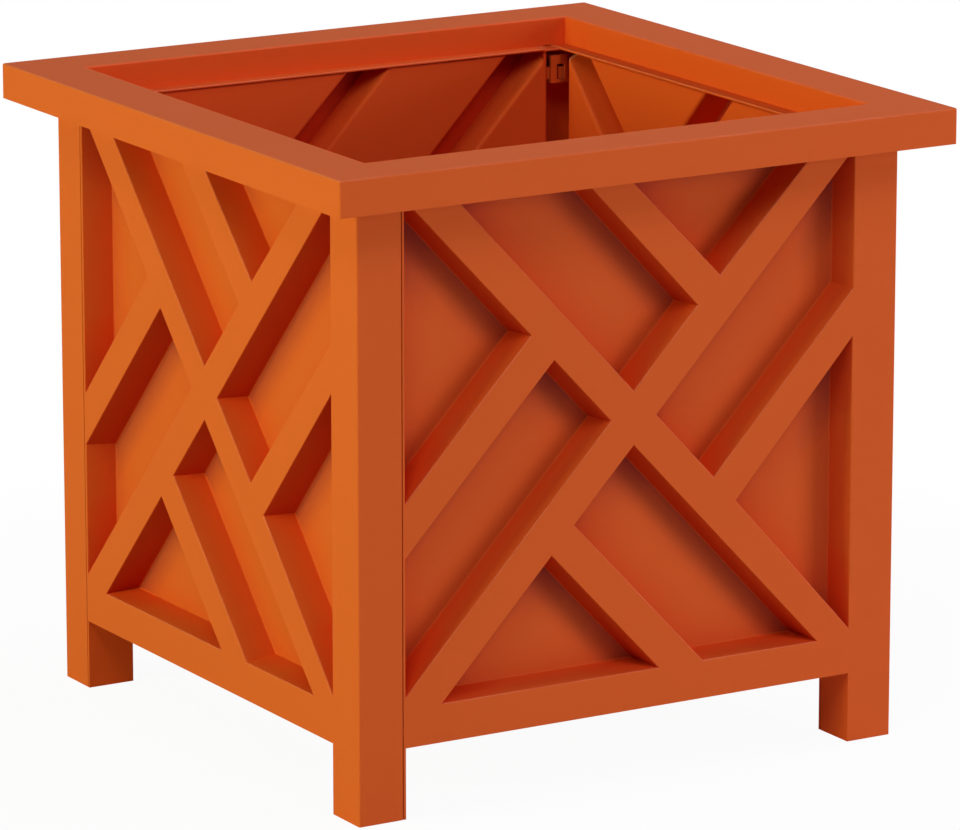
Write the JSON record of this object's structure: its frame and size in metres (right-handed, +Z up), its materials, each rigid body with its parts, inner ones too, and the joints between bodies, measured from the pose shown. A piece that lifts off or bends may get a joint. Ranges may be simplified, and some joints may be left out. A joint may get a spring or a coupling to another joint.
{
  "type": "square planter box",
  "caption": "Square floor planter of moulded plastic with lattice relief sides, short corner legs, a flat rim and a drop-in floor.",
  "frame": {"origin": "on the ground at the middle of the square footprint", "axes": "+Z up; -Y is the front side and +X the right side seen from the front"},
  "size_m": [0.4064, 0.4064, 0.3758],
  "materials": {
    "terracotta_plastic": "satin moulded resin"
  },
  "bodies": {
    "planter": {"side_front": "terracotta_plastic", "side_right": "terracotta_plastic", "side_back": "terracotta_plastic", "side_left": "terracotta_plastic", "rim": "terracotta_plastic"},
    "floor": {"floor_panel": "terracotta_plastic"}
  },
  "joints": [
    {"name": "floor_lift", "type": "slide", "parent": "planter", "child": "floor", "axis": [0, 0, 1], "range_m": [0, 0.345]}
  ]
}
